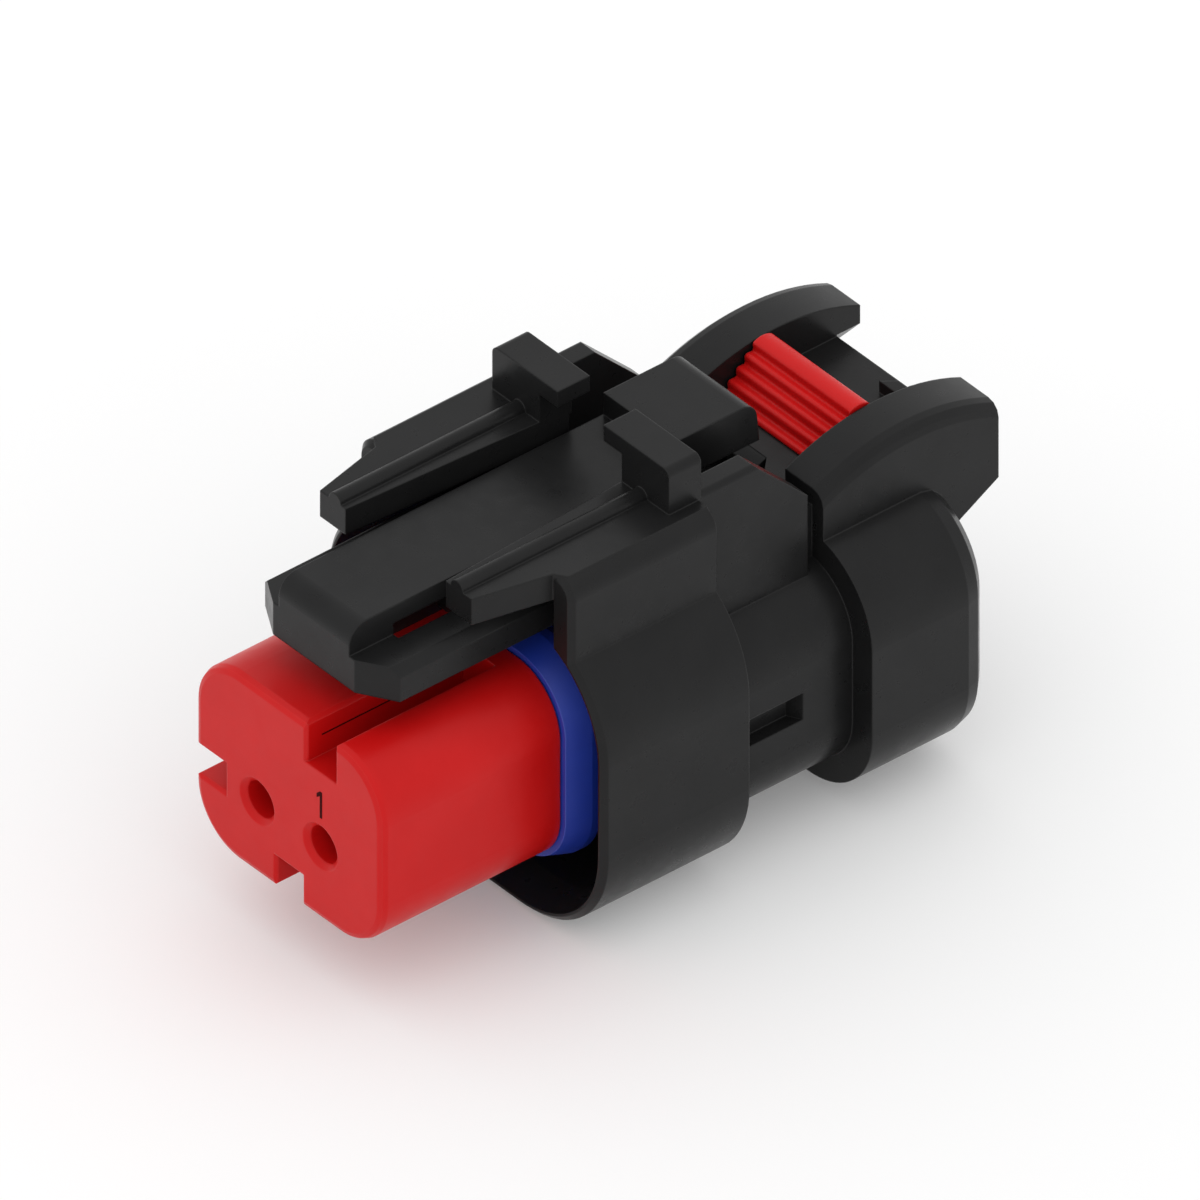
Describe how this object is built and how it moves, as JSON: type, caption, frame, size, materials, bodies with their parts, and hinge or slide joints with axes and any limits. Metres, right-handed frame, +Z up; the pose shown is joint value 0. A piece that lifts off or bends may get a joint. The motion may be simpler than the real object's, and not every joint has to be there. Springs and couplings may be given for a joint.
{
  "type": "connector housing",
  "caption": "Sealed plug housing with a keyed red nose, a blue face seal, a flexing top latch and a ribbed position-assurance slider.",
  "frame": {"origin": "centre of the bounding box's footprint, at the level of the shroud's underside", "axes": "+Y along the pins towards the wires, +Z up to the latch, +X to the right seen from the wires"},
  "size_m": [0.0248, 0.0464, 0.0286],
  "materials": {
    "black_plastic": "fine moulded texture",
    "red_plastic": "satin moulded",
    "seal_rubber": "smooth silicone"
  },
  "bodies": {
    "housing": {"housing": "black_plastic", "interface_seal": "seal_rubber", "wire_seal": "seal_rubber", "rear_retainer": "black_plastic"},
    "front_lock": {"front_lock": "red_plastic"},
    "lock_slider": {"lock_slider": "red_plastic"}
  },
  "joints": [
    {"name": "front_lock_slide", "type": "slide", "parent": "housing", "child": "front_lock", "axis": [0, -1, 0], "range_m": [0, 0.0015]},
    {"name": "lock_slider_slide", "type": "slide", "parent": "housing", "child": "lock_slider", "axis": [0, -1, 0], "range_m": [0, 0.0024]}
  ]
}
